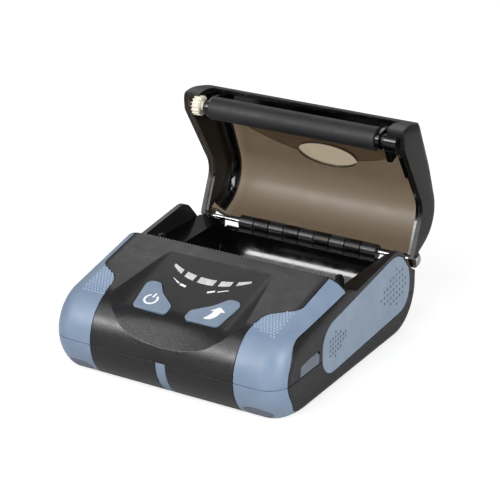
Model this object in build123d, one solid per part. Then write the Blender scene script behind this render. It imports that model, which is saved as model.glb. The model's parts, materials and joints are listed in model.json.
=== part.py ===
# Portable receipt printer with a hinged, see-through paper cover.
# Millimetres, +X to the right, +Y to the rear, +Z up, origin under the middle of the body.
# The lid is drawn closed and then turned open about the hinge, which is the rest position.
from build123d import *
from math import atan2, cos, degrees, hypot, pi, radians, sin, sqrt, tan
import os

os.makedirs("parts", exist_ok=True)

# Widths, from the paper outwards
paper_width = 80.0
plate_in = paper_width / 2 + 2.4   # side plates of the mechanism, from the middle of the paper path
plate_out = plate_in + 1.4
half_width = plate_out + 10.2      # side faces stand at plus and minus this

# Outer body
front_y = -61.0              # foremost point of the nose
rear_y = 57.8                # rear wall
wall = 2.2                   # shell wall
open_z = 70.0                # above everything that stands over the paper bay
seam_z = 15.7                # height of the joint between the two shells
nose_z = 16.1                # height of the foremost point
nose_radius = 19.6           # nose above its foremost point
chin_radius = 20.0           # nose below its foremost point
edge_round = 10.0            # long round along the side edges of panel and nose
base_round = 3.5             # round along the bottom edges
rear_round = 19.0            # rear bottom round
rear_wall_z = 24.2           # top of the rear wall

# Control panel
panel_rear_y = -7.0          # rear edge of the panel, where the tear blade is
panel_rear_z = 43.9
panel_lip = 1.2              # the shell ends this far ahead of the panel edge
panel_slope = 12.6           # degrees
dish_half = 25.0             # flat floor of the dish, half its width
dish_flank = 6.5             # width of each sloping flank of the dish
dish_depth = 2.2             # drop from the panel to the dish floor at the nose
dish_start_y = -15.0         # where the dish floor leaves the panel
dish_tilt = 3.7              # degrees that the dish floor is steeper than the panel
scoop_radius = 150.0         # cross radius of the scoop in front of the buttons
scoop_y = -60.0              # lowest point of the scoop's crest
scoop_z = 22.2
scoop_slope = 47.0           # degrees
scoop_run_in = 6.0           # the scoop starts this far below its crest
ridge_round = 16.0           # round where the dish floor turns into the scoop
scoop_long = 26.0
scoop_high = 14.0
dish_crease = 12.0           # round where the dish floor turns up into its flanks
dish_length = 60.0           # the dish is cut past the nose
flank_run = 3.0              # its flanks are cut this many times past the panel

# Side walls behind the panel
ear_front_y = -6.2           # foot of the slanting end of the panel
ear_front_z = 38.3
ear_low_y = 1.6
ear_low_z = 35.6
ear_top_y = 39.5
ear_top_z = 40.6
ear_round = 10.0
ear_rear_y = 54.3

# Fits
groove = 0.3                 # line round a set-in piece
seam_line = 0.5              # depth of the line where the two shells meet
seam_open = 0.2              # each shell stops this far from the seam on the outside
part_gap = 0.8               # closed lid to the side walls
run_gap = 0.05               # radial clearance of a turning fit
slide_gap = 0.25             # clearance round a button

# Grips and inlays
grip_skin = 1.4
strip_x = half_width - 7.2   # inner edge of the grip beside the panel
grip_x = half_width - 20.2   # inner edge of the grip on the nose
shoulder_y = -31.9           # where the grip widens
shoulder_end_y = -39.1
panel_skin = 1.2             # side panel
accent_half = 2.2            # accent strip on the lower front
accent_skin = 1.0
accent_rear_y = -50.0
grip_end_gap = 0.8           # shell left behind the rear end of the grip
pad_x = half_width - 12.0    # leaf-shaped pads in the lower grips
pad_z = 3.4
pad_long = 12.0
pad_high = 4.6
pad_rear_y = -46.0
side_margin = 1.2            # shell left round the side panel

# Hinge
hinge_y = 58.2
hinge_z = 28.2
pin_radius = 0.9
lug_radius = 3.1
knuckle = 7.2                # width of a knuckle
knuckle_step = 15.4
knuckle_pairs = 2            # body knuckles on each side of the middle one
pin_head = 0.9
pin_head_radius = 2.2
lid_lug_in = half_width - 3.6
lid_lug_out = half_width - pin_head - 0.1
lid_lug_radius = 3.4
lid_angle = 65.0             # from closed to the open rest position

# Lid
lid_half = half_width - 0.4  # the lid stands this little inside the body's sides
lid_wall = 2.0
lid_brow_z = 58.6            # top of the sloping front
lid_top_z = 59.4             # crown
lid_top_y = 28.0
lid_back_z = 57.4
lid_rear_y = 62.5
lid_rear_z = 32.4            # lower edge of the rear wall
lid_tip_y = -6.2             # front of the end caps
lid_tip_z = 42.5             # the front starts to slope back here
lid_brow_y = 5.6
lid_lip_z = 50.4             # front lip between the end caps
lid_lip_y = 8.0
cap_inner = lid_half - 8.1   # the end caps start here
lid_round = 10.0             # round along the side edges
lid_nose_round = 20.0
lid_brow_round = 12.0
lid_crown_round = 80.0
lid_rear_round = 20.0
lid_foot_z = 20.0            # below everything that the lid keeps
lid_front_run = 6.0          # the side rounds are drawn on this far past the front
frame_skin = 1.4             # black frame inside the lid
frame_inner = lid_half - 7.1
frame_lift = 0.5             # the frame ends this far above the cover's edge
frame_end_y = 54.0
frame_end_lift = 1.2         # above the lower edge of the lid's rear wall
beam_rear_y = 9.0
cheek_in = plate_out + 1.6   # housing round the right end of the roller's shaft
cheek_radius = 4.4
cheek_leg = 2.4              # short leg beside the housing
cheek_arm_thick = 2.7        # arm from that housing along the inside of the lid
cheek_tip_y = 22.6
cheek_arm_top = 45.4
thick_zone = 0.8             # the cover is thicker in front of an arc
zone_y = -45.0
zone_radius = 81.0
lens_a = 14.6                # thumb inlay, half length
lens_b = 6.2
lens_y = 35.0
lens_skin = 1.2
lens_sunk = 0.4

# Paper path
mech_x = 1.0                 # middle of the paper path
platen_y = -0.4
platen_z = 38.2
platen_radius = 5.0
shaft_radius = 1.5
tray_radius = 25.6
tray_y = 25.2
tray_z = 30.6
tray_wall = 1.5
tray_front_z = 28.5
tray_rear_z = 26.9
tray_side_clear = 0.5        # paper edge to the tray's end plate
tray_flange_y = 54.4
ledge_z = 31.0               # top of the ledges beside the tray
ledge_front_y = 8.4
ledge_rear_y = 50.0
sensor_x = 21.0
sensor_radius = 1.2
tray_foot_x = 30.0

# Print head
head_tilt = 20.0             # degrees below level, from the platen towards the front
head_gap = 0.3
head_up = 3.6
head_down = 8.4
head_plate = 2.4
heater_skin = 0.6
heater_height = 5.0
head_half = plate_in - 0.8
head_pin = 1.0               # pins that carry the head in the side plates
spring_length = 4.0
spring_radius = 1.8
spring_wire = 0.25
spring_pitch = 1.1
spring_x = 22.0
beam_thick = 1.5             # beam behind the head springs
beam_half = 4.0

# Frame of the print mechanism
frame_front_y = -13.0
frame_rear_y = 8.0
motor_front_y = -31.0        # the left plate reaches forward to carry the motor
frame_foot_z = 15.0
carrier_thick = 1.5
tab_thick = 1.4
frame_tab_x = plate_out + 6.6
frame_screw_x = plate_out + 3.6
frame_screw_long = 6.0
frame_boss = 2.8
plate_top_front = 40.2       # top of the side plates, falling to the rear
plate_top = 41.2
plate_rear_top = 39.0
bush_radius = 2.75
bush_gap = 0.3
bush_in = plate_in - 0.2
bush_out = plate_out + 0.2
arm_in = paper_width / 2 + 0.4   # lid brackets beside the roller
arm_out = plate_in - 0.4
arm_radius = 4.2

# Gears
module = 0.5
gear_slack = 0.05            # extra distance between meshing axes
root_share = 0.56            # tooth width at its root, as a share of the pitch
tip_share = 0.22
platen_teeth = 16
drive_teeth = 20
small_teeth = 16
large_teeth = 40
pinion_teeth = 10
gear_width = 3.4
thin_gear_width = 1.4
axle_radius = 1.0
hub_radius = 2.2
gear_in = mech_x - plate_out - 1.8   # inner face of the gears beside the left plate
motor_angle = 190.0          # from the reduction gear to the motor
motor_radius = 7.0
motor_length = 11.0
motor_screw_out = 4.6

# Buttons and the control board under the dish
shell_at_dish = 2.0          # shell thickness under the dish
button_proud = 0.6
button_edge = 0.3            # round on the button's top edge
flange_thick = 1.2
flange_rim = 1.0             # flange beyond the button under the shell
stem_radius = 1.5
key_travel = 0.5
key_x = -12.0
key_y = -46.5
key_size = 6.0
key_height = 3.6             # switch with its plunger
key_plunger = 0.6
key_plunger_radius = 1.2
key_board_drop = 8.2         # dish floor to the top of the control board
key_board_thick = 1.2
key_board_half = 30.0
key_board_front_y = -49.0
key_board_rear_y = -21.0
key_post_x = 27.0
key_post_front_y = -45.5
key_post_rear_y = -24.0
key_post_radius = 2.2
key_screw_depth = 3.0
lamp_wide = 2.0
lamp_deep = 1.2
lamp_high = 1.0

# Status windows, a crescent cut into five
window_x = 0.4
window_back_y = 11.8         # centre of the arc behind the windows
window_back_radius = 39.0
window_front_y = -2.6
window_front_radius = 27.7
window_spans = ((-17.7, -12.0), (-9.9, -5.0), (-2.9, 4.6), (6.7, 11.6), (13.7, 18.7))
guide_rim = 1.0
guide_long = 39.0
window_mid_y = -30.0         # the windows lie within this band
window_reach = 30.0
lamp_back = 1.5              # lamps behind the front of the windows

# Tear blade
blade_half = plate_out
blade_deep = 6.0
blade_show = 0.2             # roots of the teeth ahead of the shell's edge
blade_thick = 0.5
blade_drop = 0.7             # panel surface to the blade's top
tooth_high = 1.2
teeth = 60

# Port cover
port_front_y = -43.6
port_rear_y = -29.2
port_top_z = 21.3
port_step = 0.9              # the cover is lower than that at its hinge
cover_thick = 1.2
port_pin_y = -43.0
port_pin_radius = 0.35
port_pin_long = 0.7
finger_notch = 1.2

# Electronics
board_z = 13.2
board_thick = 1.6
board_front_y = -51.0
board_rear_y = -8.0
board_half = 38.0
board_port_x = half_width - 3.5   # tongue of the board that carries the sockets
chip_half = 6.0
chip_high = 1.4
radio_high = 2.2
capacitor_radius = 3.0
capacitor_high = 6.0
buzzer_radius = 4.5
buzzer_high = 3.0
socket_long = 9.0
socket_wall = 0.6
data_high = 3.9
jack_high = 5.4
jack_bore = 2.0
socket_rise = 1.6            # the sockets stand this far over the board, on their own feet
data_half = 3.85
jack_half = 2.6
board_screw_x = 30.0
board_screw_front_y = -34.0
board_screw_rear_y = -11.0
deck_z = 12.2                # top of the battery bay
deck_thick = 1.2
battery_half = 32.5
battery_front_y = -46.5
battery_rear_y = -7.0
battery_low = 0.2            # the pack's underside
battery_gap = 0.3
contact_pitch = 4.0
contact_y = -12.0
contact_radius = 0.6
latch_half = 6.0
latch_long = 5.0
latch_low = 0.3
latch_reach = 1.4            # latch tongue under the pack
latch_tongue = 1.0
latch_rim = 2.4              # flange of the latch on each side, under the rails
latch_travel = 2.0
foot_x = 40.0
foot_y = 30.0
foot_radius = 4.5
foot_high = 1.0

# Screws
screw_radius = 1.2
screw_head_radius = 2.3
screw_head = 1.8
screw_grip = 6.0             # screw in the upper boss
boss_radius = 3.2
front_screw_x = half_width - 8.0
front_screw_y = -48.5
rear_screw_x = half_width - 4.7
rear_screw_y = 45.5
small_screw = 0.9
small_head = 1.8
small_head_high = 1.2
front_seat_z = 3.0           # seats of the heads of the shell screws
rear_seat_z = 4.6
front_boss_z = 33.0          # tops of the bosses that take them
rear_boss_z = 24.0

nodes = {}


def rounded_corner(before, corner, after):
    """Start, middle and end of the tangent arc that rounds a corner (u, v, radius)."""
    u, v, radius = corner
    if not radius:
        return (u, v), (u, v), (u, v)
    a, b = hypot(before[0] - u, before[1] - v), hypot(after[0] - u, after[1] - v)
    ax, ay = (before[0] - u) / a, (before[1] - v) / a
    bx, by = (after[0] - u) / b, (after[1] - v) / b
    half_angle = atan2(abs(ax * by - ay * bx), ax * bx + ay * by) / 2
    back = radius / tan(half_angle)
    reach = (radius / sin(half_angle) - radius) / hypot(ax + bx, ay + by)
    middle = (u + (ax + bx) * reach, v + (ay + by) * reach)
    return (u + ax * back, v + ay * back), middle, (u + bx * back, v + by * back)


def rounded_outline(corners):
    """Closed flat face through corners (u, v, radius), each corner rounded by a tangent arc."""
    count = len(corners)
    arcs = [rounded_corner(corners[i - 1], corners[i], corners[(i + 1) % count]) for i in range(count)]
    edges = []
    for i, (entry, middle, leave) in enumerate(arcs):
        if corners[i][2]:
            edges.append(ThreePointArc(entry, middle, leave))
        following = arcs[(i + 1) % count][0]
        if hypot(following[0] - leave[0], following[1] - leave[1]) > 1e-6:
            edges.append(Line(leave, following))
    return Face(Wire(edges))


def open_path(corners):
    """Edges through corners (u, v, radius) from the first to the last, rounded between them."""
    edges = []
    here = corners[0][:2]
    for i in range(1, len(corners) - 1):
        entry, mid, leave = rounded_corner(corners[i - 1], corners[i], corners[i + 1])
        edges.append(Line(here, entry))
        if corners[i][2]:
            edges.append(ThreePointArc(entry, mid, leave))
        here = leave
    return edges + [Line(here, corners[-1][:2])]


def along_x(face, x0, x1):
    """Face drawn in (y, z), drawn out from x0 to x1."""
    return Pos(x0, 0, 0) * extrude(Plane.YZ * face, amount=x1 - x0, dir=(1, 0, 0))


def along_y(face, y0, y1):
    """Face drawn in (x, z), drawn out from y0 to y1."""
    front = Plane(origin=(0, y0, 0), x_dir=(1, 0, 0), z_dir=(0, -1, 0))
    return extrude(front * face, amount=y1 - y0, dir=(0, 1, 0))


def along_z(face, z0, z1):
    """Face drawn in (x, y), drawn out from z0 to z1."""
    return Pos(0, 0, z0) * extrude(face, amount=z1 - z0, dir=(0, 0, 1))


def block(x0, x1, y0, y1, z0, z1):
    """Box between two opposite corners."""
    return Pos((x0 + x1) / 2, (y0 + y1) / 2, (z0 + z1) / 2) * Box(x1 - x0, y1 - y0, z1 - z0)


def rod_x(x0, x1, y, z, radius):
    """Round bar along X."""
    return Pos((x0 + x1) / 2, y, z) * Rot(0, 90, 0) * Cylinder(radius, abs(x1 - x0))


def rod_z(x, y, z0, z1, radius):
    """Upright round bar."""
    return Pos(x, y, (z0 + z1) / 2) * Cylinder(radius, z1 - z0)


def mirrored(shape):
    """The same shape on the other side of the middle plane."""
    return mirror(shape, about=Plane.YZ)


def keep(name, *solids):
    """Store a node made of one or more separate solids."""
    nodes[name] = solids[0] if len(solids) == 1 else Compound(children=list(solids))


# Panel and nose lines
slope = tan(radians(panel_slope))


def panel_z(y):
    """Height of the panel's plane."""
    return panel_rear_z + (y - panel_rear_y) * slope


nose_y = front_y + nose_radius


def nose_point(inset, turn):
    """Point on the nose arc, turned in degrees from its foremost point towards the panel."""
    radius = nose_radius - inset
    return nose_y - radius * cos(radians(turn)), nose_z + radius * sin(radians(turn))


def chin_point(inset, z):
    """Point on the arc under the nose at a height."""
    radius = chin_radius - inset
    return front_y + chin_radius - sqrt(radius ** 2 - (nose_z - z) ** 2), z


def heel_point(inset, turn):
    """Point on the rear bottom arc, turned in degrees from straight down towards the rear."""
    radius = rear_round - inset
    return heel_y + radius * sin(radians(turn)), rear_round - radius * cos(radians(turn))


heel_y = rear_y - rear_round


def heel_on_seam(inset):
    """Point on the rear bottom arc at the seam."""
    radius = rear_round - inset
    below = rear_round - seam_z
    return heel_point(inset, degrees(atan2(sqrt(radius ** 2 - below ** 2), below)))


# Top edge of the side walls, from the panel to the rear wall
shell_end = (panel_rear_y - panel_lip, panel_z(panel_rear_y - panel_lip))
ear_corners = [
    (ear_front_y, ear_front_z, 0),
    (ear_low_y, ear_low_z, 0),
    (ear_top_y, ear_top_z, ear_round),
    (ear_rear_y, rear_wall_z, 0),
]


def on_side(edge, half):
    """True for an edge that lies in one of the two side faces."""
    return abs(abs(edge.center().X) - half) < 1e-3


def upper_form(inset):
    """Upper body without its hollow, walls moved in by the inset. An inset form is open behind the panel."""
    panel_drop = inset / cos(radians(panel_slope))
    brow = nose_point(inset, 90 - panel_slope)
    nose_arc = ThreePointArc(nose_point(inset, 0), nose_point(inset, 45 - panel_slope / 2), brow)
    chin_middle = chin_point(inset, (seam_z + nose_z) / 2)
    chin_arc = ThreePointArc(chin_point(inset, seam_z), chin_middle, nose_arc @ 0)
    heel_start = heel_on_seam(inset)
    heel_turn = (90 + degrees(atan2(heel_start[0] - heel_y, rear_round - heel_start[1]))) / 2
    heel_arc = ThreePointArc(heel_point(inset, 90), heel_point(inset, heel_turn), heel_start)
    back = rear_y - inset
    if inset:
        end = (panel_rear_y, panel_z(panel_rear_y) - panel_drop)
        top = [Line(brow, end), Line(end, (end[0], open_z)), Line((end[0], open_z), (back, open_z))]
    else:
        top = [Line(brow, shell_end)] + open_path([shell_end + (0,)] + ear_corners + [(back, rear_wall_z, 0)])
    rear_line = Line(top[-1] @ 1, heel_arc @ 0)
    edges = [chin_arc, nose_arc] + top + [rear_line, heel_arc, Line(heel_arc @ 1, chin_arc @ 0)]
    half = half_width - inset
    form = along_x(Face(Wire(edges)), -half, half)
    brow_edges = [
        e for e in form.edges()
        if on_side(e, half) and e.center().Y < panel_rear_y - 2 and e.center().Z > seam_z + 0.01
    ]
    form = fillet(brow_edges, edge_round - inset)
    rear_edges = [
        e for e in form.edges()
        if on_side(e, half) and e.center().Y > back - 1
        and e.center().Z > seam_z + 0.01 and abs((e % 0.5).Z) > 0.5
    ]
    return fillet(rear_edges, base_round - min(inset, base_round - 0.8))


def lower_form(inset):
    """Lower body without its hollow, walls moved in by the inset."""
    low_z = -1.5
    low = chin_point(inset, low_z)
    run = 1.2
    below = (low[0] + (nose_z - low_z) * run, low_z - (front_y + chin_radius - low[0]) * run)
    heel_start = heel_on_seam(inset)
    heel_turn = degrees(atan2(heel_start[0] - heel_y, rear_round - heel_start[1])) / 2
    edges = [
        ThreePointArc(chin_point(inset, seam_z), chin_point(inset, (seam_z + low_z) / 2), low),
        Line(low, below),
        Line(below, (heel_y, below[1])),
        Line((heel_y, below[1]), (heel_y, inset)),
        ThreePointArc((heel_y, inset), heel_point(inset, heel_turn), heel_start),
        Line(heel_start, chin_point(inset, seam_z)),
    ]
    half = half_width - inset
    form = along_x(Face(Wire(edges)), -half, half)
    chin_edges = [
        e for e in form.edges()
        if on_side(e, half) and e.center().Y < below[0] - 1 and e.center().Z < seam_z - 0.5
    ]
    form = fillet(chin_edges, edge_round - inset)
    form -= block(-half_width, half_width, front_y - 1, rear_y + 1, below[1] - 1, inset)
    floor_edges = [
        e for e in form.edges()
        if e.center().Z < inset + 0.01 and not (e.center().Y > heel_y - 1 and abs(e.center().X) < 1)
    ]
    return fillet(floor_edges, base_round - min(inset, base_round - 0.8))


# Outer forms and their hollows
upper_outer = upper_form(0)
lower_outer = lower_form(0)
upper_inner = upper_form(wall)
lower_inner = lower_form(wall)
lower_room = lower_form(wall / 2)

# Dish and scoop in the control panel
dish_angle = panel_slope + dish_tilt
floor_y = Vector(0, cos(radians(dish_angle)), sin(radians(dish_angle)))
floor_normal = Vector(0, -sin(radians(dish_angle)), cos(radians(dish_angle)))
dish_start = Vector(0, dish_start_y, panel_z(dish_start_y))
dish_plane = Plane(origin=dish_start, x_dir=(1, 0, 0), z_dir=floor_normal)
dish_section = Plane(origin=dish_start, x_dir=(1, 0, 0), z_dir=-floor_y)


def on_floor(y):
    """Distance along the dish floor from where it leaves the panel, for a plan position."""
    return (y - dish_start_y) / cos(radians(dish_angle))


def from_floor(face, low, high):
    """Face drawn in the dish floor, drawn out between two heights over the floor."""
    return extrude(dish_plane.offset(low) * face, amount=high - low, dir=floor_normal)


def dish_prism(half, flank, rise, drop):
    """Prism along the dish floor that opens upwards, its floor moved down by the drop."""
    crease = dish_crease if flank else 0
    face = rounded_outline([
        (-half, -drop, crease),
        (half, -drop, crease),
        (half + flank, rise, 0),
        (-half - flank, rise, 0),
    ])
    return extrude(dish_section * face, amount=dish_length, dir=-floor_y)


def scoop_prism(half, drop):
    """Scoop through the nose in front of the buttons, its floor moved down by the drop."""
    rise = Vector(0, cos(radians(scoop_slope)), sin(radians(scoop_slope)))
    normal = Vector(0, -sin(radians(scoop_slope)), cos(radians(scoop_slope)))
    foot = Vector(0, scoop_y, scoop_z) - rise * scoop_run_in
    section = Plane(origin=foot - normal * drop, x_dir=(1, 0, 0), z_dir=rise)
    up = 1 if section.y_dir.dot(normal) > 0 else -1
    side = up * (scoop_radius - sqrt(scoop_radius ** 2 - half ** 2))
    top = up * scoop_high
    face = Face(Wire([
        ThreePointArc((-half, side), (0, 0), (half, side)),
        Line((half, side), (half, top)),
        Line((half, top), (-half, top)),
        Line((-half, top), (-half, side)),
    ]))
    return extrude(section * face, amount=scoop_long, dir=rise)


dish_cut = dish_prism(dish_half, dish_flank * flank_run, dish_depth * flank_run, 0)
scoop_cut = scoop_prism(dish_half + dish_flank, 0)
front_cut = dish_cut + scoop_cut
scoop_foot = Vector(0, scoop_y, scoop_z)
scoop_rise = Vector(0, cos(radians(scoop_slope)), sin(radians(scoop_slope)))
ridge_rise = (dish_start - scoop_foot).dot(floor_normal) / scoop_rise.dot(floor_normal)
ridge_middle = scoop_foot + scoop_rise * ridge_rise
ridge = front_cut.edges().sort_by(lambda e: (e.position_at(0.5) - ridge_middle).length)[0]
front_cut = fillet(ridge, ridge_round)
dish_skin = dish_prism(dish_half + dish_flank, 0, scoop_high, shell_at_dish)
dish_skin += scoop_prism(dish_half + dish_flank, shell_at_dish)
upper_inner -= dish_skin & block(-half_width, half_width, front_y, dish_start_y, seam_z, open_z)
upper_shell = upper_outer - upper_inner - front_cut
lower_shell = lower_outer - lower_inner

# Soft grips on the front corners, split by the seam
end_rate = (ear_front_y - shell_end[0]) / (shell_end[1] - ear_front_z)


def grip_end_y(z):
    """Rear end of the grip at a height, parallel to the slanting end of the panel."""
    return shell_end[0] - grip_end_gap + (shell_end[1] - z) * end_rate


grip_plan = rounded_outline([
    (strip_x, grip_end_y(ear_front_z) + 3, 0),
    (strip_x, shoulder_y, 6),
    (grip_x + 1.6, shoulder_end_y, 7),
    (grip_x, -50, 30),
    (grip_x - 0.2, front_y - 9, 0),
    (half_width + 9, front_y - 9, 0),
    (half_width + 9, grip_end_y(ear_front_z) + 3, 0),
])
grip_side = rounded_outline([
    (grip_end_y(37.7), 37.7, 0),
    (-47.5, 31.3, 10),
    (-55.2, 16.5, 12),
    (-47.5, 2.5, 8),
    (-40, -1, 0),
    (-40, -9, 0),
    (front_y - 9, -9, 0),
    (front_y - 9, open_z, 0),
    (grip_end_y(open_z), open_z, 0),
])


def grip_mask(gap):
    """Room of the right-hand grip, grown by a gap."""
    plan = offset(grip_plan, gap) if gap else grip_plan
    side = offset(grip_side, gap) if gap else grip_side
    return along_z(plan, -9, open_z) & along_x(side, 0, half_width + 9)


upper_core = upper_form(grip_skin)
lower_core = lower_form(grip_skin)
upper_grip_skin = upper_outer - upper_core
lower_grip_skin = lower_outer - lower_core
upper_grip = upper_grip_skin & grip_mask(0)
lower_grip = lower_grip_skin & grip_mask(0)
upper_grip_bed = upper_grip_skin & grip_mask(groove)
lower_grip_bed = lower_grip_skin & grip_mask(groove)
upper_shell -= upper_grip_bed
upper_shell -= mirrored(upper_grip_bed)
lower_shell -= lower_grip_bed
lower_shell -= mirrored(lower_grip_bed)
seam_upper = block(-half_width, half_width, front_y, rear_y, seam_z, seam_z + seam_open)
seam_upper -= upper_form(seam_line)
seam_lower = block(-half_width, half_width, front_y, rear_y, seam_z - seam_open, seam_z)
seam_lower -= lower_form(seam_line)
upper_shell -= seam_upper
lower_shell -= seam_lower
upper_grip -= seam_upper
lower_grip -= seam_lower

# Leaf-shaped pads let into the lower grips
pad_skin = lower_outer - lower_form(accent_skin)
pad = pad_skin & along_y(Pos(pad_x, pad_z) * Ellipse(pad_long / 2, pad_high / 2), front_y - 1, pad_rear_y)
pad_bed = Pos(pad_x, pad_z) * Ellipse(pad_long / 2 + groove, pad_high / 2 + groove)
lower_grip -= pad_skin & along_y(pad_bed, front_y - 1, pad_rear_y + groove)
lower_grip -= rod_z(front_screw_x, front_screw_y, -1, wall, screw_head_radius + 0.3)
keep("grip_upper_right", upper_grip)
keep("grip_upper_left", mirrored(upper_grip))
keep("grip_lower_right", lower_grip)
keep("grip_lower_left", mirrored(lower_grip))
keep("corner_pad_right", pad)
keep("corner_pad_left", mirrored(pad))

# Accent strip down the middle of the lower front
strip_room = block(-accent_half, accent_half, front_y - 1, accent_rear_y, -1, seam_z)
bed_half = accent_half + groove
strip_bed = block(-bed_half, bed_half, front_y - 1, accent_rear_y + groove, -1, seam_z)
keep("accent_strip", pad_skin & strip_room)
lower_shell -= pad_skin & strip_bed

# Side panels over the seam
side_profile = Face(Wire(
    [Line((rear_y, 0), (front_y, 0)), Line((front_y, 0), (front_y, nose_z)), Line((front_y, nose_z), shell_end)]
    + open_path([shell_end + (0,)] + ear_corners + [(rear_y, rear_wall_z, 0)])
    + [Line((rear_y, rear_wall_z), (rear_y, 0))]
))
side_outline = rounded_outline([
    (-26.4, 28.4, 10),
    (50.0, 40.5, 16),
    (50.1, 10.8, 9),
    (-26.2, 7.0, 9),
]) & offset(side_profile, -side_margin)
side_panel = along_x(side_outline, half_width - panel_skin, half_width)
side_bed = along_x(offset(side_outline, groove), half_width - panel_skin - groove, half_width + 1)
keep("side_panel_right", side_panel)
keep("side_panel_left", mirrored(side_panel))
for bed in (side_bed, mirrored(side_bed)):
    upper_shell -= bed
    lower_shell -= bed

# Buttons and their holes
button_face = rounded_outline([
    (-20.0, on_floor(-50.4), 2),
    (-22.7, on_floor(-34.3), 3),
    (-16.2, on_floor(-34.3), 3),
    (-12.0, on_floor(-39.7), 9),
    (-4.3, on_floor(-45.3), 2.5),
    (-4.2, on_floor(-50.4), 2),
])
flange_top = -shell_at_dish - run_gap
flange_low = flange_top - flange_thick
stem_low = -key_board_drop + key_height + key_travel + run_gap
button = from_floor(button_face, flange_top, button_proud)
button_rim = [e for e in button.edges() if dish_plane.to_local_coords(e.center()).Z > button_proud - 0.01]
button = fillet(button_rim, button_edge)
button += from_floor(offset(button_face, flange_rim), flange_low, flange_top)
key_place = Pos(key_x, on_floor(key_y))
button += from_floor(key_place * Circle(stem_radius), stem_low, flange_low)
keep("power_button", button)
keep("feed_button", mirrored(button))
button_hole = from_floor(offset(button_face, slide_gap), -shell_at_dish - 1, scoop_high)
flange_hole = offset(button_face, flange_rim + slide_gap)
button_hole += from_floor(flange_hole, flange_low - key_travel - slide_gap, -shell_at_dish)
upper_shell -= button_hole
upper_shell -= mirrored(button_hole)

# Status windows, one light guide with five posts
outer_arc = Pos(window_x, on_floor(window_back_y)) * Circle(window_back_radius)
inner_arc = Pos(window_x, on_floor(window_front_y)) * Circle(window_front_radius)
crescent = inner_arc - outer_arc
guide_face = offset(inner_arc, guide_rim) - offset(outer_arc, -guide_rim)
guide_face &= Pos(window_x, on_floor(window_mid_y)) * Rectangle(guide_long, window_reach)
light_guide = from_floor(guide_face, flange_low, flange_top)
light_guide = light_guide.solids().sort_by(Axis.Y)[0]
for left, right in window_spans:
    span = Pos((left + right) / 2, on_floor(window_mid_y)) * Rectangle(right - left, window_reach)
    window = (crescent & span).faces().sort_by(Axis.Y)[0]
    light_guide += from_floor(window, flange_low, 0)
    upper_shell -= from_floor(offset(window, run_gap), -shell_at_dish - 1, 1)
keep("status_light_guide", light_guide)

# Control board under the dish, on four posts
key_board_low = -key_board_drop - key_board_thick
board_mid = on_floor((key_board_front_y + key_board_rear_y) / 2)
board_long = on_floor(key_board_rear_y) - on_floor(key_board_front_y)
key_board_face = Pos(0, board_mid) * Rectangle(2 * key_board_half, board_long)
key_board = from_floor(key_board_face, key_board_low, -key_board_drop)
key_screws = []
for x in (-key_post_x, key_post_x):
    for y in (key_post_front_y, key_post_rear_y):
        spot = Pos(x, on_floor(y))
        upper_shell += from_floor(spot * Circle(key_post_radius), -key_board_drop, -shell_at_dish / 2)
        screw_hole = spot * Circle(small_screw + run_gap)
        upper_shell -= from_floor(screw_hole, -key_board_drop, -key_board_drop + key_screw_depth)
        key_board -= from_floor(screw_hole, key_board_low, -key_board_drop)
        shank = from_floor(spot * Circle(small_screw), key_board_low, -key_board_drop + key_screw_depth - 0.3)
        screw_top = from_floor(spot * Circle(small_head), key_board_low - small_head_high, key_board_low)
        key_screws.append(shank + screw_top)
keep("control_board", key_board)
keep("control_board_screws", *key_screws)
key_top = -key_board_drop + key_height
key = from_floor(key_place * Rectangle(key_size, key_size), -key_board_drop, key_top - key_plunger)
key += from_floor(key_place * Circle(key_plunger_radius), -key_board_drop, key_top)
keep("key_switches", key, mirrored(key))
lamp_y = on_floor(window_front_y - window_front_radius + lamp_back)
lamps = []
for left, right in window_spans:
    lamp_spot = Pos((left + right) / 2, lamp_y)
    lamp_face = lamp_spot * Rectangle(lamp_wide, lamp_deep)
    lamps.append(from_floor(lamp_face, -key_board_drop, -key_board_drop + lamp_high))
keep("status_lamps", *lamps)

# Tear blade under the panel's rear edge
panel_normal = Vector(0, -sin(radians(panel_slope)), cos(radians(panel_slope)))
blade_y = shell_end[0] + blade_show
blade_plane = Plane(origin=(mech_x, blade_y, panel_z(blade_y)), x_dir=(1, 0, 0), z_dir=panel_normal)
pitch = 2 * blade_half / teeth
points = [(-blade_half, -blade_deep), (-blade_half, 0)]
for i in range(teeth):
    points += [(-blade_half + (i + 0.5) * pitch, tooth_high), (-blade_half + (i + 1) * pitch, 0)]
points.append((blade_half, -blade_deep))
blade_face = make_face(Polyline(points, close=True))
blade_low = blade_plane.offset(-blade_drop - blade_thick)
keep("tear_blade", extrude(blade_low * blade_face, amount=blade_thick, dir=panel_normal))
room_ahead = 4.0
room_deep = 6.0
blade_room = Rectangle(2 * blade_half + 2 * slide_gap, blade_deep + room_ahead + 2 * slide_gap)
blade_room = Pos(0, (room_ahead - blade_deep) / 2) * blade_room
blade_over = blade_plane.offset(-blade_drop + run_gap)
upper_shell -= extrude(blade_over * blade_room, amount=-room_deep, dir=panel_normal)

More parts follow.
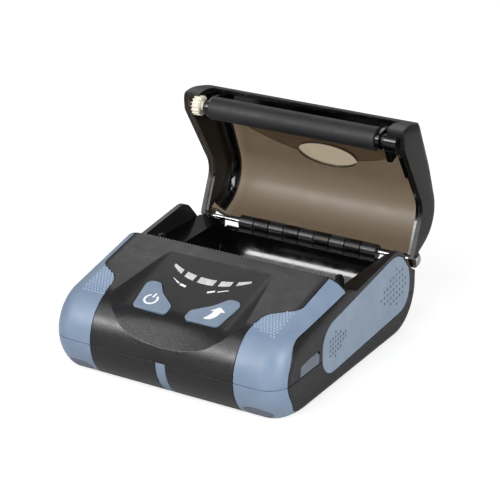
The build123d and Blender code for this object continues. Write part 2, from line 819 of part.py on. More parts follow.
# Port cover on the right side, turning about an upright pin at its front edge
cover_outline = rounded_outline([
    (port_front_y, seam_z + groove, 0),
    (port_front_y, port_top_z - port_step, 0.6),
    (port_front_y + 7, port_top_z, 4),
    (port_rear_y, port_top_z, 0.6),
    (port_rear_y, seam_z + groove, 0),
])
cover_in = half_width - cover_thick
port_cover = along_x(cover_outline, cover_in, half_width)
port_cover -= block(cover_in - 1, half_width + 1, port_front_y - 1, port_pin_y, 0, open_z)
port_pin_x = half_width - cover_thick / 2
port_cover += rod_z(port_pin_x, port_pin_y, seam_z + groove, port_top_z - port_step, cover_thick / 2)
pin_top = port_top_z - port_step + port_pin_long
port_cover += rod_z(port_pin_x, port_pin_y, seam_z - port_pin_long, pin_top, port_pin_radius)
port_cover -= rod_x(cover_in - 1, half_width + 1, port_rear_y, port_top_z, finger_notch)
keep("port_cover", port_cover)
upper_shell -= along_x(offset(cover_outline, groove), cover_in - 3, half_width + 1)
upper_shell -= block(cover_in - 3, half_width + 1, port_front_y - groove, port_rear_y + groove,
                     seam_z - 1, seam_z + 1)
# The cover's top front corner swings out through a square corner of its opening
upper_shell -= block(cover_in, half_width + 1, port_front_y - groove - slide_gap, port_pin_y + cover_thick,
                     seam_z, port_top_z - port_step + slide_gap)
pin_hole = rod_z(port_pin_x, port_pin_y, seam_z - port_pin_long - groove, port_top_z + port_pin_long,
                 port_pin_radius + run_gap)
upper_shell -= pin_hole
lower_shell -= pin_hole

# Battery bay in the lower shell, with the pack, its contacts and its latch
bay_front_y = battery_front_y - battery_gap
bay_rear_y = battery_rear_y + battery_gap
bay_half = battery_half + battery_gap
deck_low = deck_z - deck_thick
lower_shell += block(-bay_half - deck_thick, bay_half + deck_thick,
                     bay_front_y - deck_thick, bay_rear_y + deck_thick, wall - 0.1, deck_z)
lower_shell -= block(-bay_half, bay_half, bay_front_y, bay_rear_y, -1, deck_low)
battery_top = deck_low - battery_gap
battery = block(-battery_half, battery_half, battery_front_y, battery_rear_y, battery_low, battery_top)
battery = fillet(battery.edges().filter_by(Axis.Z), 1.5)
battery -= block(-latch_half - 0.5, latch_half + 0.5, battery_rear_y - latch_reach, battery_rear_y,
                 battery_low, latch_low + latch_tongue + 0.2)
latch_rear_y = bay_rear_y + latch_long
latch = block(-latch_half, latch_half, bay_rear_y + 0.2, latch_rear_y, latch_low, wall + run_gap)
latch += block(-latch_half, latch_half, battery_rear_y - latch_reach + 0.3, bay_rear_y + 0.2,
               latch_low, latch_low + latch_tongue)
latch_flange_y = bay_rear_y + deck_thick + slide_gap
latch += block(-latch_half - latch_rim, latch_half + latch_rim, latch_flange_y, latch_rear_y,
               wall + run_gap, wall + 1)
for i in range(4):
    latch -= rod_x(-latch_half + 1, latch_half - 1, latch_flange_y + 0.6 + i, latch_low, 0.3)
keep("battery_latch", latch)
latch_end_y = latch_rear_y + latch_travel
lower_shell -= block(-latch_half - slide_gap, latch_half + slide_gap,
                     bay_rear_y - 1, latch_end_y + slide_gap, -1, wall + run_gap)
rail_x = latch_half + latch_rim + slide_gap
for side in (-1, 1):
    rail = sorted((side * rail_x, side * (rail_x + 1.2)))
    lip = sorted((side * (rail_x - 1.2), side * (rail_x + 1.2)))
    lower_shell += block(rail[0], rail[1], latch_flange_y - 0.3, latch_end_y, wall - 0.2, wall + 2)
    lower_shell += block(lip[0], lip[1], latch_flange_y - 0.3, latch_end_y, wall + 1 + run_gap, wall + 2)
contacts = []
for i in range(4):
    x = (i - 1.5) * contact_pitch
    battery -= rod_z(x, contact_y, battery_top - 1, deck_low, contact_radius + 0.4)
    lower_shell -= rod_z(x, contact_y, deck_low - 1, deck_z + 0.1, contact_radius + 0.1)
    contacts.append(rod_z(x, contact_y, battery_top - 1, board_z, contact_radius))
keep("battery_pack", battery)
keep("battery_contacts", *contacts)

# Rear feet, flush with the floor
feet = []
for x in (-foot_x, foot_x):
    lower_shell -= rod_z(x, foot_y, -1, foot_high + run_gap, foot_radius + run_gap)
    feet.append(rod_z(x, foot_y, 0, foot_high, foot_radius))
keep("rear_feet", *feet)

# Shell screws from below
shell_screws = []
for x, y, seat, top in (
    (front_screw_x, front_screw_y, front_seat_z, front_boss_z),
    (rear_screw_x, rear_screw_y, rear_seat_z, rear_boss_z),
):
    for side in (-1, 1):
        lower_shell += rod_z(side * x, y, 0.5, seam_z, boss_radius) & lower_core
        upper_shell += rod_z(side * x, y, seam_z, top, boss_radius) & upper_core
        lower_shell -= rod_z(side * x, y, -1, seat, screw_head_radius + 0.2)
        lower_shell -= rod_z(side * x, y, seat - 1, seam_z + 1, screw_radius + run_gap)
        upper_shell -= rod_z(side * x, y, seam_z - 1, seam_z + screw_grip + 0.3, screw_radius + run_gap)
        screw = rod_z(side * x, y, seat - screw_head, seat, screw_head_radius)
        screw += rod_z(side * x, y, seat, seam_z + screw_grip, screw_radius)
        screw -= rod_z(side * x, y, seat - screw_head, seat - screw_head + 0.8, 0.8)
        shell_screws.append(screw)
keep("shell_screws", *shell_screws)

# Main board on standoffs over the battery deck
board_top = board_z + board_thick
main_board = block(-board_half, board_half, board_front_y, board_rear_y, board_z, board_top)
main_board += block(board_half - 1, board_port_x, port_front_y - 1, port_rear_y + 1, board_z, board_top)
board_screws = []
for x in (-board_screw_x, board_screw_x):
    for y in (board_screw_front_y, board_screw_rear_y):
        lower_shell += rod_z(x, y, deck_low + 0.5, board_z, small_head)
        lower_shell -= rod_z(x, y, deck_low + 0.4, board_z + 1, small_screw + run_gap)
        main_board -= rod_z(x, y, board_z - 1, board_top + 1, small_screw + run_gap)
        board_screws.append(rod_z(x, y, deck_low + 0.6, board_top, small_screw)
                            + rod_z(x, y, board_top, board_top + small_head_high, small_head))
keep("main_board", main_board)
keep("main_board_screws", *board_screws)
chip_y = board_rear_y - 22
chip = block(-chip_half, chip_half, chip_y - chip_half, chip_y + chip_half, board_top, board_top + chip_high)
keep("processor", chip)
radio_x = -board_half + 4
radio_y = board_front_y + 3
radio = block(radio_x, radio_x + 14, radio_y, radio_y + 10, board_top, board_top + radio_high)
keep("radio_module", radio)
capacitors = []
for i in range(2):
    x = board_half - 16 + (2 * capacitor_radius + 1) * i
    capacitors.append(rod_z(x, board_rear_y - 12, board_top, board_top + capacitor_high, capacitor_radius))
keep("power_capacitors", *capacitors)
keep("buzzer", rod_z(2 * chip_half, board_front_y + 7, board_top, board_top + buzzer_high, buzzer_radius))
socket_x = half_width - wall - 0.3
socket_y = port_rear_y - data_half - 0.55
socket_low = board_top + socket_rise
socket_mid = socket_low + data_high / 2
data_room = data_half - socket_wall
tongue_half = data_room - 1.2
bore_x = socket_x - socket_long + 2
socket = block(socket_x - socket_long, socket_x, socket_y - data_half, socket_y + data_half,
               board_top, socket_low + data_high)
socket -= block(bore_x, socket_x, socket_y - data_room, socket_y + data_room,
                socket_low + socket_wall, socket_low + data_high - socket_wall)
socket += block(bore_x - 0.1, socket_x - 1, socket_y - tongue_half, socket_y + tongue_half,
                socket_mid - socket_wall / 2, socket_mid + socket_wall / 2)
keep("data_socket", socket)
jack_y = socket_y - data_half - jack_half - 0.8
jack_mid = socket_low + jack_high / 2
jack = block(socket_x - socket_long, socket_x, jack_y - jack_half, jack_y + jack_half,
             board_top, socket_low + jack_high)
jack -= rod_x(bore_x, socket_x, jack_y, jack_mid, jack_bore)
jack += rod_x(bore_x - 0.1, socket_x - 1, jack_y, jack_mid, jack_bore / 4)
keep("charging_socket", jack)

# Directions of the print head: press points from the roller into the head
press = Vector(0, -cos(radians(head_tilt)), -sin(radians(head_tilt)))
contact = Vector(mech_x, platen_y, platen_z) + press * (platen_radius + head_gap)
head_plane = Plane(origin=contact, x_dir=(1, 0, 0), z_dir=press)


def on_head(half, low, high, near, far):
    """Block on the print head's plane, between two heights and two depths from the paper."""
    face = Pos(0, (low + high) / 2) * Rectangle(2 * half, high - low)
    return extrude(head_plane.offset(near) * face, amount=far - near, dir=press)


plate_back = heater_skin + head_plate
pin_spot = head_plane.from_local_coords(Vector(0, -head_down + head_pin + 0.2, heater_skin + head_plate / 2))
heater = on_head(paper_width / 2, -heater_height / 2, heater_height / 2, 0, heater_skin)
head = on_head(head_half, -head_down, head_up, heater_skin, plate_back)
head += rod_x(mech_x - plate_out, mech_x + plate_out, pin_spot.Y, pin_spot.Z, head_pin)
keep("heater_strip", heater)
keep("head_plate", head)
springs = []
for side in (-1, 1):
    coil = Helix(pitch=spring_pitch, height=spring_length - 2 * spring_wire, radius=spring_radius)
    start = coil @ 0
    wire = sweep(Plane(origin=start, z_dir=coil % 0) * Circle(spring_wire), path=coil, is_frenet=True)
    spring_foot = head_plane.from_local_coords(Vector(side * spring_x, 0, plate_back + spring_wire))
    springs.append(Plane(origin=spring_foot, x_dir=(1, 0, 0), z_dir=press) * wire)
keep("head_springs", *springs)

# Frame of the print mechanism: two side plates, a beam behind the springs and the blade's carrier
lift = Vector(0, platen_y - hinge_y, platen_z - hinge_z)
lift = Vector(0, lift.Z, -lift.Y) / lift.length
slot_end = Vector(0, platen_y, platen_z) + lift * 9
slot_side = Vector(0, lift.Z, -lift.Y) * (bush_radius + bush_gap)
slot_start = Vector(0, platen_y, platen_z)
slot_corners = (slot_start + slot_side, slot_end + slot_side, slot_end - slot_side, slot_start - slot_side)
slot = make_face(Polyline([(p.Y, p.Z) for p in slot_corners], close=True))
slot = slot + Pos(platen_y, platen_z) * Circle(bush_radius + bush_gap)
carrier_top = -blade_drop - blade_thick - run_gap
carrier_face = Pos(0, -blade_deep / 2 - 1) * Rectangle(2 * plate_out, blade_deep - 2)
print_frame = extrude(blade_plane.offset(carrier_top - carrier_thick) * carrier_face,
                      amount=carrier_thick, dir=panel_normal)
beam_near = plate_back + spring_length
print_frame += on_head(plate_out, -beam_half, beam_half, beam_near, beam_near + beam_thick)
tie_y = frame_front_y + 6
print_frame += block(mech_x - plate_out, mech_x + plate_out, tie_y, tie_y + beam_thick,
                     frame_foot_z, frame_foot_z + 7)
frame_screws = []
# The left plate reaches under the panel to the motor, the right one ends at the head
for side, plate_front_y, shoulder in (
    (-1, motor_front_y, ((motor_front_y, 29.0), (frame_front_y - 3, 32.0))),
    (1, frame_front_y, ((frame_front_y, 33.0), (frame_front_y, 34.0))),
):
    corners = [
        (plate_front_y, frame_foot_z),
        *shoulder,
        (frame_front_y, plate_top_front),
        (frame_front_y + 4, plate_top),
        (platen_y - bush_radius, plate_top - 0.6),
        (platen_y + bush_radius, plate_rear_top + 0.6),
        (frame_rear_y - 2, plate_rear_top),
        (frame_rear_y, plate_rear_top - 3),
        (frame_rear_y, frame_foot_z),
    ]
    x0, x1 = sorted((mech_x + side * plate_in, mech_x + side * plate_out))
    print_frame += along_x(make_face(Polyline(corners, close=True)), x0, x1)
    print_frame -= along_x(slot, x0 - 1, x1 + 1)
    outer = mech_x + side * plate_out
    t0, t1 = sorted((outer - side * 0.5, side * frame_tab_x))
    for y in (plate_front_y + 3, frame_rear_y - 3):
        x = side * frame_screw_x
        print_frame += block(t0, t1, y - 3, y + 3, frame_foot_z, frame_foot_z + tab_thick)
        print_frame -= rod_z(x, y, frame_foot_z - 1, frame_foot_z + tab_thick + 1, small_screw + run_gap)
        lower_shell += rod_z(x, y, 1, frame_foot_z, frame_boss) & lower_room
        lower_shell -= rod_z(x, y, frame_foot_z - frame_screw_long, frame_foot_z + 1, small_screw + run_gap)
        head_z = frame_foot_z + tab_thick
        frame_screws.append(rod_z(x, y, frame_foot_z - frame_screw_long + 0.5, head_z, small_screw)
                            + rod_z(x, y, head_z, head_z + small_head_high, small_head))
    print_frame -= rod_x(outer - side * 5, outer + side, pin_spot.Y, pin_spot.Z, head_pin + run_gap)
keep("frame_screws", *frame_screws)


# Gears
def gear(teeth, x0, x1, y, z, tooth_angle, bore):
    """Spur gear along X with one tooth pointing at an angle in degrees."""
    root = module * (teeth / 2 - 1.15)
    tip = module * (teeth / 2 + 0.9)
    points = []
    for i in range(teeth):
        middle = radians(tooth_angle) + 2 * pi * i / teeth
        for radius, share in ((root, -root_share), (tip, -tip_share), (tip, tip_share), (root, root_share)):
            angle = middle + share * pi / teeth
            points.append((y + radius * cos(angle), z + radius * sin(angle)))
    blank = along_x(make_face(Polyline(points, close=True)), x0, x1)
    return blank - rod_x(x0 - 1, x1 + 1, y, z, bore)


def beyond(y, z, first, second, angle):
    """Axis of a gear that meshes with another, in a direction in degrees."""
    reach = module * (first + second) / 2 + gear_slack
    return y + reach * cos(radians(angle)), z + reach * sin(radians(angle))


drop_angle = degrees(atan2(-lift.Z, -lift.Y))
drive_y, drive_z = beyond(platen_y, platen_z, platen_teeth, drive_teeth, drop_angle)
small_angle = drop_angle + 180 + 7 * 360 / drive_teeth
small_y, small_z = beyond(drive_y, drive_z, drive_teeth, small_teeth, small_angle)
motor_y, motor_z = beyond(small_y, small_z, large_teeth, pinion_teeth, motor_angle)
gear_out = gear_in - gear_width
large_out = gear_out - 1.2 - thin_gear_width
bore = axle_radius + run_gap
hub_end = mech_x - plate_out - 0.1
drive_angle = drop_angle + 180 + 180 / drive_teeth
drive_gear = gear(drive_teeth, gear_out, gear_in, drive_y, drive_z, drive_angle, bore)
drive_gear += rod_x(gear_in - 0.1, hub_end, drive_y, drive_z, hub_radius)
drive_gear -= rod_x(gear_out - 1, hub_end + 1, drive_y, drive_z, bore)
reduction = gear(small_teeth, gear_out, gear_in, small_y, small_z, small_angle + 180, bore)
large_in = large_out + thin_gear_width
reduction += gear(large_teeth, large_out, large_in, small_y, small_z, motor_angle + 180 / large_teeth, bore)
reduction += rod_x(large_out, hub_end, small_y, small_z, hub_radius)
reduction -= rod_x(large_out - 1, hub_end + 1, small_y, small_z, bore)
rotor = gear(pinion_teeth, large_out, large_in + 0.4, motor_y, motor_z, motor_angle + 180, axle_radius)
motor_face = mech_x - plate_in + 0.1
rotor += rod_x(large_out, motor_face + 3, motor_y, motor_z, axle_radius)
keep("drive_gear", drive_gear)
keep("reduction_gear", reduction)
keep("motor_rotor", rotor)
axle_in = mech_x - plate_in
for name, y, z, end in (
    ("drive_axle", drive_y, drive_z, gear_out),
    ("reduction_axle", small_y, small_z, large_out),
):
    axle = rod_x(end - 0.7, axle_in, y, z, axle_radius)
    keep(name, axle + rod_x(end - 0.7, end - 0.1, y, z, 1.7 * axle_radius))
    print_frame -= rod_x(axle_in - 3, axle_in + 1, y, z, axle_radius + run_gap)
motor = rod_x(motor_face, motor_face + motor_length, motor_y, motor_z, motor_radius)
motor -= rod_x(motor_face - 1, motor_face + 4, motor_y, motor_z, axle_radius + run_gap)
print_frame -= rod_x(axle_in - 3, axle_in + 1, motor_y, motor_z, axle_radius + 0.4)
motor_screws = []
for side in (-1, 1):
    y = motor_y + side * motor_screw_out
    print_frame -= rod_x(axle_in - 3, axle_in + 1, y, motor_z, small_screw + run_gap)
    motor -= rod_x(motor_face - 1, motor_face + 4, y, motor_z, small_screw + run_gap)
    head_x = mech_x - plate_out
    motor_screw = rod_x(head_x - 0.9, head_x, y, motor_z, small_head)
    motor_screws.append(motor_screw + rod_x(head_x, motor_face + 3.5, y, motor_z, small_screw))
keep("motor_case", motor)
keep("motor_screws", *motor_screws)
keep("print_frame", print_frame)

# Paper tray with its rear flange, end plates and side ledges
tray_low_z = tray_z - tray_radius
ring = Pos(tray_y, tray_z) * (Circle(tray_radius + tray_wall) - Circle(tray_radius))
sectors = []
for reach, rim_z in ((-2 * tray_radius, tray_front_z), (2 * tray_radius, tray_rear_z)):
    sectors.append(make_face(Polyline([
        (tray_y, tray_z),
        (tray_y, -tray_radius),
        (tray_y + reach, -tray_radius),
        (tray_y + reach, rim_z),
        (tray_y + reach / 4, rim_z),
    ], close=True)))
section = (ring & sectors[0]) + (ring & sectors[1])
tray_half = paper_width / 2 + tray_side_clear
tray = along_x(section, mech_x - tray_half, mech_x + tray_half)
rear_rim_y = tray_y + sqrt(tray_radius ** 2 - (tray_z - tray_rear_z) ** 2)
tray += block(mech_x - tray_half, mech_x + tray_half, rear_rim_y, tray_flange_y,
              tray_rear_z - tray_wall, tray_rear_z)
end_face = Pos(tray_y, tray_z) * Circle(tray_radius + tray_wall)
end_face &= Pos(tray_y, ledge_z / 2) * Rectangle(4 * tray_radius, ledge_z)
for side in (-1, 1):
    x0, x1 = sorted((mech_x + side * tray_half, mech_x + side * (tray_half + tray_wall)))
    tray += along_x(end_face, x0, x1)
    x0, x1 = sorted((mech_x + side * tray_half, side * (half_width - wall - 0.4)))
    tray += block(x0, x1, ledge_front_y, ledge_rear_y, ledge_z - tray_wall, ledge_z)
    foot_mid = side * tray_foot_x
    tray += block(foot_mid - 3, foot_mid + 3, tray_y - 5, tray_y + 5, wall + run_gap, tray_low_z - 0.5)
tray -= rod_z(sensor_x, tray_y, 0, tray_z, sensor_radius + 0.4)
sensor_top = tray_low_z - tray_wall - 0.1
sensor = block(sensor_x - 4, sensor_x + 4, tray_y - 3, tray_y + 3, wall + run_gap, sensor_top)
sensor += rod_z(sensor_x, tray_y, wall + 1, tray_low_z - 0.3, sensor_radius)
keep("paper_tray", tray)
keep("paper_sensor", sensor)

# Hinge: knuckles on the rear wall between those of the lid, one pin through all
for i in range(-knuckle_pairs, knuckle_pairs + 1):
    x0 = i * knuckle_step - knuckle / 2
    x1 = i * knuckle_step + knuckle / 2
    upper_shell += rod_x(x0, x1, hinge_y, hinge_z, lug_radius)
    upper_shell += block(x0, x1, rear_y - wall, rear_y, rear_wall_z - 2, hinge_z)
upper_shell -= rod_x(-half_width, half_width, hinge_y, hinge_z, pin_radius + run_gap)
pin_end = half_width - pin_head
pin = rod_x(-pin_end - 0.1, pin_end + 0.1, hinge_y, hinge_z, pin_radius)
for side in (-1, 1):
    x0, x1 = sorted((side * pin_end, side * half_width))
    pin += rod_x(x0, x1, hinge_y, hinge_z, pin_head_radius)
keep("hinge_pin", pin)


# Lid, drawn closed
def lid_face(inset, run):
    """Side outline of the lid, walls moved in by the inset and the front carried forward by the run."""
    brow_drop = run * (lid_top_z - lid_brow_z) / (lid_top_y - lid_brow_y)
    face = rounded_outline([
        (lid_tip_y - run, lid_foot_z, 0),
        (lid_tip_y - run, lid_tip_z, lid_nose_round),
        (lid_brow_y - run, lid_brow_z - brow_drop, lid_brow_round),
        (lid_top_y, lid_top_z, lid_crown_round),
        (lid_rear_y, lid_back_z, lid_rear_round),
        (lid_rear_y, lid_foot_z, 0),
    ])
    return offset(face, -inset) if inset else face


def lid_form(inset):
    """Lid without its hollow, walls moved in by the inset, open downwards. Its front corners stay sharp."""
    half = lid_half - inset
    form = along_x(lid_face(inset, lid_front_run), -half, half)
    sides = [e for e in form.edges() if on_side(e, half) and e.center().Z > lid_foot_z + inset + 0.01]
    return fillet(sides, lid_round - inset) & along_x(lid_face(inset, 0), -half, half)


def opened(shape):
    """A piece of the lid turned from closed to the open rest position."""
    return shape.rotate(Axis((0, hinge_y, hinge_z), (1, 0, 0)), -lid_angle)


lid_inner = lid_form(lid_wall)
cover = lid_form(0) - lid_inner
zone = lid_inner - lid_form(lid_wall + thick_zone)
zone &= along_z(Pos(0, zone_y) * Circle(zone_radius), lid_lip_z, lid_top_z + 1)
zone &= block(-frame_inner + 0.2, frame_inner - 0.2, beam_rear_y + 0.2, lid_rear_y, lid_lip_z, lid_top_z + 1)
cover += zone
body_room = along_x(offset(side_profile, part_gap), -half_width, half_width)
rear_room = block(-half_width, half_width, hinge_y, lid_rear_y + 1, 0, lid_rear_z)
cover -= body_room
cover -= block(-cap_inner, cap_inner, lid_tip_y - 1, lid_lip_y, 0, lid_lip_z)
cover -= rear_room
for i in range(knuckle_pairs):
    for side in (-1, 1):
        x = side * (i + 0.5) * knuckle_step
        cover += rod_x(x - knuckle / 2, x + knuckle / 2, hinge_y, hinge_z, lug_radius)
        cover += block(x - knuckle / 2, x + knuckle / 2, hinge_y + 0.8, lid_rear_y,
                       hinge_z + 0.4, lid_rear_z + 0.6)
end_lug = rod_x(lid_lug_in, lid_lug_out, hinge_y, hinge_z, lid_lug_radius)
cover += end_lug + mirrored(end_lug)
cover -= rod_x(-half_width, half_width, hinge_y, hinge_z, pin_radius + run_gap)
head_room = rod_x(lid_lug_out, half_width + 1, hinge_y, hinge_z, pin_head_radius + 0.2)
cover -= head_room
cover -= mirrored(head_room)
gear_room = rod_x(gear_out - 0.7, gear_in + 0.6, platen_y, platen_z, module * (platen_teeth / 2 + 1.6))
cover -= gear_room
inlay_hole = Pos(0, lens_y) * Ellipse(lens_a + groove, lens_b + groove)
cover -= along_z(inlay_hole, lid_lip_z, lid_top_z + 1)
inlay_room = along_z(Pos(0, lens_y) * Ellipse(lens_a, lens_b), lid_lip_z, lid_top_z + 1)
inlay = (lid_form(lens_sunk) - lid_form(lens_sunk + lens_skin)) & inlay_room

frame_out = lid_form(lid_wall + run_gap)
frame_in = lid_form(lid_wall + frame_skin)
lid_frame = frame_out - frame_in
lid_frame -= block(-frame_inner, frame_inner, beam_rear_y, lid_rear_y, 0, lid_top_z + 1)
beam = block(-frame_inner, frame_inner, beam_rear_y - 5, beam_rear_y - 2, lid_lip_z + 0.4, lid_top_z)
lid_frame += frame_out & beam
lid_frame -= along_x(offset(side_profile, part_gap + frame_lift), -half_width, half_width)
lid_frame -= block(-half_width, half_width, frame_end_y, lid_rear_y + 1, 0, lid_rear_z + frame_end_lift)
lid_frame -= block(-cap_inner, cap_inner, lid_tip_y - 1, lid_lip_y, 0, lid_lip_z + 0.8)
arm_face = rounded_outline([
    (platen_y - arm_radius + 0.2, platen_z, 0),
    (platen_y - 3.0, lid_lip_z - 0.6, 6),
    (beam_rear_y - 8, lid_top_z, 0),
    (beam_rear_y, lid_top_z, 0),
    (beam_rear_y, lid_lip_z + 2.4, 4),
    (platen_y + arm_radius - 0.2, platen_z, 0),
]) + Pos(platen_y, platen_z) * Circle(arm_radius)
for side in (-1, 1):
    x0, x1 = sorted((mech_x + side * arm_in, mech_x + side * arm_out))
    lid_frame += along_x(arm_face, x0, x1) & frame_out
# Housing at the right end of the roller's shaft, with an arm along the inside of the lid
cheek_out = lid_half - lid_wall - frame_skin / 2
cheek = along_x(Pos(platen_y, platen_z) * Circle(cheek_radius), cheek_in, cheek_out)
cheek += along_x(rounded_outline([
    (platen_y - cheek_radius, platen_z, 0),
    (platen_y - 2, platen_z + 8, 3),
    (platen_y + 15, platen_z + 9, 3),
    (cheek_tip_y, cheek_arm_top, 1.5),
    (cheek_tip_y + 0.6, cheek_arm_top - 4.6, 1),
    (platen_y + 9, platen_z + 0.6, 4),
    (platen_y + 4, platen_z - 3, 2),
]), cheek_out - cheek_arm_thick, cheek_out)
cheek += block(cheek_in, cheek_in + cheek_leg, platen_y + 2, platen_y + 8.2, platen_z - 4, platen_z + 1.5)
lid_frame += cheek & frame_out
lid_frame -= rod_x(-half_width, half_width, platen_y, platen_z, shaft_radius + run_gap)
lid_frame -= gear_room
keep("lid_cover", opened(cover))
keep("lid_frame", opened(lid_frame))
keep("lid_inlay", opened(inlay))

# Platen in the lid
shaft = rod_x(gear_out - 0.5, mech_x + plate_out + 1.2, platen_y, platen_z, shaft_radius)
roller = rod_x(mech_x - paper_width / 2, mech_x + paper_width / 2, platen_y, platen_z, platen_radius)
roller -= rod_x(mech_x - paper_width, mech_x + paper_width, platen_y, platen_z, shaft_radius)
platen_gear = gear(platen_teeth, gear_out, gear_in, platen_y, platen_z, drop_angle, shaft_radius)
platen_gear += rod_x(gear_in - 0.1, gear_in + 1.4, platen_y, platen_z, hub_radius)
platen_gear -= rod_x(gear_in - 1, gear_in + 2, platen_y, platen_z, shaft_radius)
bushes = []
for side in (-1, 1):
    x0, x1 = sorted((mech_x + side * bush_in, mech_x + side * bush_out))
    bush = rod_x(x0, x1, platen_y, platen_z, bush_radius)
    bushes.append(bush - rod_x(x0 - 1, x1 + 1, platen_y, platen_z, shaft_radius + run_gap))
keep("platen_shaft", opened(shaft))
keep("platen_roller", opened(roller))
keep("platen_gear", opened(platen_gear))
keep("platen_bushes", *[opened(b) for b in bushes])

keep("upper_shell", upper_shell)
keep("lower_shell", lower_shell)

for name, shape in nodes.items():
    print(name, len(shape.solids()), round(shape.volume, 1), shape.is_valid)
    export_step(shape, "parts/" + name + ".step")
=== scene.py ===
# %% [markdown]
# A portable receipt printer, dressed for its picture. The maker's drawing gives every part its
# shape, its place and its hinge. What is left for Blender is the looks: the finishes, the marks
# and bumps that are too small for the drawing, the lights and the camera.

# %% Tools and the drawing
import json
import math

import bmesh
import bpy
from mathutils import Matrix, Vector
from mathutils.bvhtree import BVHTree


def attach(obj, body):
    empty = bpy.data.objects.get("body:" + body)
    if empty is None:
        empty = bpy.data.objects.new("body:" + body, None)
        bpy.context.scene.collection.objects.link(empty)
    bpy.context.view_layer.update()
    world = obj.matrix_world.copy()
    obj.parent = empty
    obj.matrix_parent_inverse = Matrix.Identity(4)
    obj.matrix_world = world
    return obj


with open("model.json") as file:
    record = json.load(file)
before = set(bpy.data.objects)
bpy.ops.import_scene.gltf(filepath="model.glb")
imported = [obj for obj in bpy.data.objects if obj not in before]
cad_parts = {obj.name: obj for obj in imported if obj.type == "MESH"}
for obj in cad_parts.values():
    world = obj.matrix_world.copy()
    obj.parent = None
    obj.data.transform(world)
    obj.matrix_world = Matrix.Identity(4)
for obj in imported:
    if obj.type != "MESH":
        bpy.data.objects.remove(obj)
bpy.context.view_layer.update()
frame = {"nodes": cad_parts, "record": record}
nodes = frame["nodes"]
scene = bpy.context.scene
MM = 0.001

# %% [markdown]
# The camera stands to the right of the printer and looks down on it, as a product photographer's
# does, so that the control panel, one side and the inside of the lid all show. A long lens a good
# way off keeps the lines of the body nearly parallel. An aim point is easier to judge than three
# angles, so the turn is worked out from it.

# %% Camera
camera = bpy.data.objects.new("camera", bpy.data.cameras.new("camera"))
scene.collection.objects.link(camera)
camera.location = (0.3646, -0.6004, 0.3342)
picture_middle = Vector((0, 0.008, 0.0395))
aim = picture_middle - camera.location
camera.rotation_euler = aim.to_track_quat("-Z", "Y").to_euler()
camera.data.sensor_width = 36
camera.data.lens = 132.34
scene.camera = camera
print("camera stands", round(aim.length, 3), "m away")

# %% [markdown]
# Black plastic shows little but what it mirrors, so each lamp stands where one surface needs its
# sheen. The main one is a big dim window in front, soft enough to leave no hard shape in the
# gloss. A narrow strip low at the left is mirrored as a thin line in the paper trough and as a
# bright band round the nose. One at the right lights the side panel, and a weak one behind lays a
# grey sheen on the control panel. The world fills the rest with a dim even light, and is white
# only where the camera looks straight at it.

# %% Lamps and world


def softbox(name, place, aim_at, size, watts):
    """A soft oblong lamp at a place in metres, turned to face a point."""
    lamp = bpy.data.lights.new(name, "AREA")
    lamp.shape = "RECTANGLE"
    lamp.size, lamp.size_y = size
    lamp.energy = watts
    box = bpy.data.objects.new(name, lamp)
    scene.collection.objects.link(box)
    box.location = place
    box.rotation_euler = (Vector(aim_at) - Vector(place)).to_track_quat("-Z", "Y").to_euler()


body_middle = (0, 0, 0.03)
softbox("lamp_front", (-0.36, -1.05, 0.86), body_middle, (1.3, 1.3), 12.5)
softbox("lamp_right", (0.95, -0.30, 0.45), body_middle, (0.5, 0.6), 10.0)
softbox("lamp_behind", (-0.45, 0.85, 0.80), (0, 0.03, 0.03), (0.8, 0.5), 2.0)
softbox("lamp_strip", (-0.56, -0.95, 0.54), (0, 0.05, 0.02), (0.7, 0.14), 5.0)

world = bpy.data.worlds.new("studio_air")
world.use_nodes = True
scene.world = world
room_light = 0.22
backdrop_white = 1.0
air = world.node_tree.nodes["Background"]
air.inputs["Color"].default_value = (1, 1, 1, 1)
sight = world.node_tree.nodes.new("ShaderNodeLightPath")
seen = world.node_tree.nodes.new("ShaderNodeMapRange")
seen.inputs["To Min"].default_value = room_light
seen.inputs["To Max"].default_value = backdrop_white
world.node_tree.links.new(sight.outputs["Is Camera Ray"], seen.inputs["Value"])
world.node_tree.links.new(seen.outputs["Result"], air.inputs["Strength"])
scene.view_settings.view_transform = "Standard"

# %% [markdown]
# Behind a finish stands a handful of small steps, so each gets a short name: a colour as it is
# read off a screen, a noise of so many millimetres, a run of colours over that noise, a run of
# gloss and a relief. Noise in Object coordinates is used instead of painted pictures, because it
# has no seams and no end to its detail. No moulded edge is quite sharp, and the Bevel node turns
# the normals at an edge so that it catches the light as a rounded one does. A Bevel modifier
# would round the shape too, but here the shape is the drawing's to say.

# %% Words for finishes


def paint(red, green, blue):
    """A screen colour from 0 to 255 as the linear colour that a shader wants."""
    def linear(v):
        v /= 255
        return v / 12.92 if v <= 0.04045 else ((v + 0.055) / 1.055) ** 2.4
    return (linear(red), linear(green), linear(blue), 1)


def start(name):
    """A new material with its node tree, its shader and the place on the object that patterns read."""
    material = bpy.data.materials.new(name)
    material.use_nodes = True
    tree = material.node_tree
    place = tree.nodes.new("ShaderNodeTexCoord").outputs["Object"]
    return material, tree, tree.nodes["Principled BSDF"], place


def noise(tree, place, size, detail=2.0, stretch=None):
    """Noise with spots about `size` millimetres wide, longer along the axes where `stretch` is small."""
    if stretch:
        mapping = tree.nodes.new("ShaderNodeMapping")
        mapping.inputs["Scale"].default_value = stretch
        tree.links.new(place, mapping.inputs["Vector"])
        place = mapping.outputs["Vector"]
    spots = tree.nodes.new("ShaderNodeTexNoise")
    spots.inputs["Scale"].default_value = 1 / (size * MM)
    spots.inputs["Detail"].default_value = detail
    tree.links.new(place, spots.inputs["Vector"])
    return spots.outputs["Fac"]


